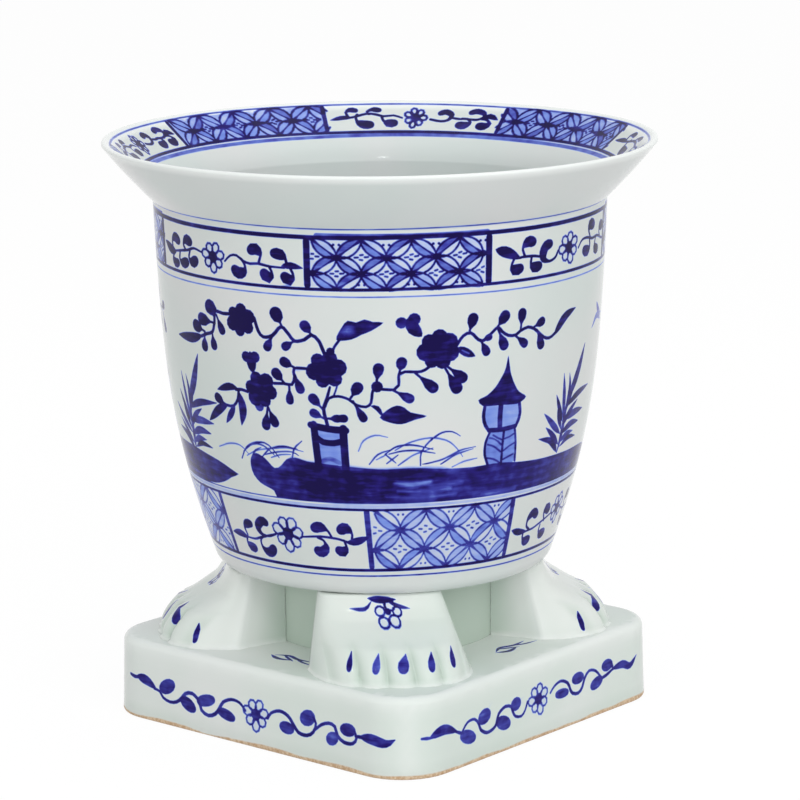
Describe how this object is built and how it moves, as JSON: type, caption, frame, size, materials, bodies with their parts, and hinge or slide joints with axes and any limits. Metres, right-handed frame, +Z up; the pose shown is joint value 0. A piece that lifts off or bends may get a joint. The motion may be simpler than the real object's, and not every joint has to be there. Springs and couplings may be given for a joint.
{
  "type": "jardiniere on stand",
  "caption": "Deep round blue-and-white glazed pottery bowl with a wide flared rim, lifting off a square plinth stand with lion-paw feet and a central collar.",
  "frame": {"origin": "on the floor under the middle of the plinth", "axes": "+Z up through the middle of the bowl; the plinth's sides run along X and Y, so the paws point along the diagonals"},
  "size_m": [0.356, 0.356, 0.376],
  "materials": {
    "bowl_glaze": "glossy tin-white glaze with hand-painted cobalt decoration",
    "stand_glaze": "glossy greenish white glaze with painted cobalt scrolls, bare brown clay at the foot"
  },
  "bodies": {
    "stand": {"plinth": "stand_glaze", "collar": "stand_glaze", "paw_front_right": "stand_glaze", "paw_back_right": "stand_glaze", "paw_back_left": "stand_glaze", "paw_front_left": "stand_glaze"},
    "bowl": {"bowl": "bowl_glaze"}
  },
  "joints": [
    {"name": "bowl_lift", "type": "slide", "parent": "stand", "child": "bowl", "axis": [0, 0, 1], "range_m": [0, 0.15]}
  ]
}
